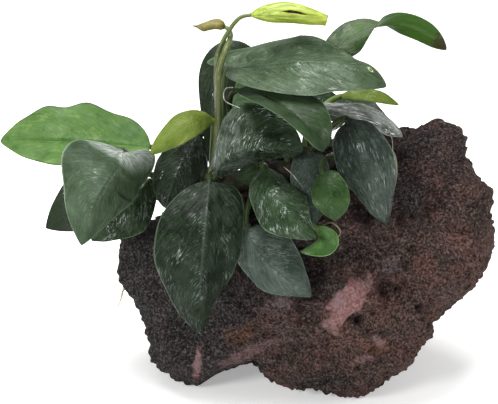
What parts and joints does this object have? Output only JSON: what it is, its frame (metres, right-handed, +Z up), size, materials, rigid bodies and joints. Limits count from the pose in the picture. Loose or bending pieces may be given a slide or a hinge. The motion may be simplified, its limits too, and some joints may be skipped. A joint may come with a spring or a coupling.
{
  "type": "anubias on stone",
  "caption": "Broad-leaved anubias with cream-green flowers, its creeping stem fixed by roots over the top of a rough porous lava boulder that stands on a flat underside.",
  "frame": {"origin": "on the surface the boulder stands on, under its flat underside", "axes": "+X to the viewer's right along the boulder's length, -Y to the side the leaves hang over, +Z up"},
  "size_m": [0.1905, 0.1131, 0.1524],
  "materials": {
    "lava": "rough porous dark brown lava, part black and part reddish",
    "leaf_dark": "wet glossy dark green leaf",
    "leaf_light": "satin mid green leaf",
    "leaf_young": "satin yellow-green young leaf",
    "rhizome": "dull olive brown ringed stem",
    "flower_stalk": "satin olive stalk",
    "flower": "satin yellow-green bract with brown specks at its opening",
    "spike": "dull yellow-brown knobbly spike",
    "dried_flower": "dull tan withered flower",
    "root": "pale dull root"
  },
  "bodies": {
    "root": {"flower_dried": "dried_flower", "flower_hood": "flower", "flower_spike": "spike", "flower_stalk_short": "flower_stalk", "flower_stalk_tall": "flower_stalk", "leaf_back_left": "leaf_dark", "leaf_centre": "leaf_dark", "leaf_front_left": "leaf_dark", "leaf_front_low": "leaf_dark", "leaf_front_middle": "leaf_dark", "leaf_left_behind": "leaf_dark", "leaf_left_front": "leaf_dark", "leaf_left_high": "leaf_light", "leaf_left_low": "leaf_dark", "leaf_left_middle": "leaf_dark", "leaf_low_right": "leaf_light", "leaf_middle_behind": "leaf_dark", "leaf_rear_high": "leaf_dark", "leaf_rear_left": "leaf_dark", "leaf_rear_right": "leaf_dark", "leaf_right_flat": "leaf_dark", "leaf_right_hanging": "leaf_dark", "leaf_small_oval": "leaf_light", "leaf_top_large": "leaf_dark", "leaf_top_right": "leaf_light", "leaf_tucked": "leaf_dark", "leaf_under_top": "leaf_dark", "leaf_young_left": "leaf_young", "leaf_young_right": "leaf_young", "rhizome": "rhizome", "root_front": "root", "root_left": "root", "root_loop": "root", "root_rear": "root", "root_right": "root", "root_under_leaf": "root", "stone": "lava"}
  },
  "joints": []
}
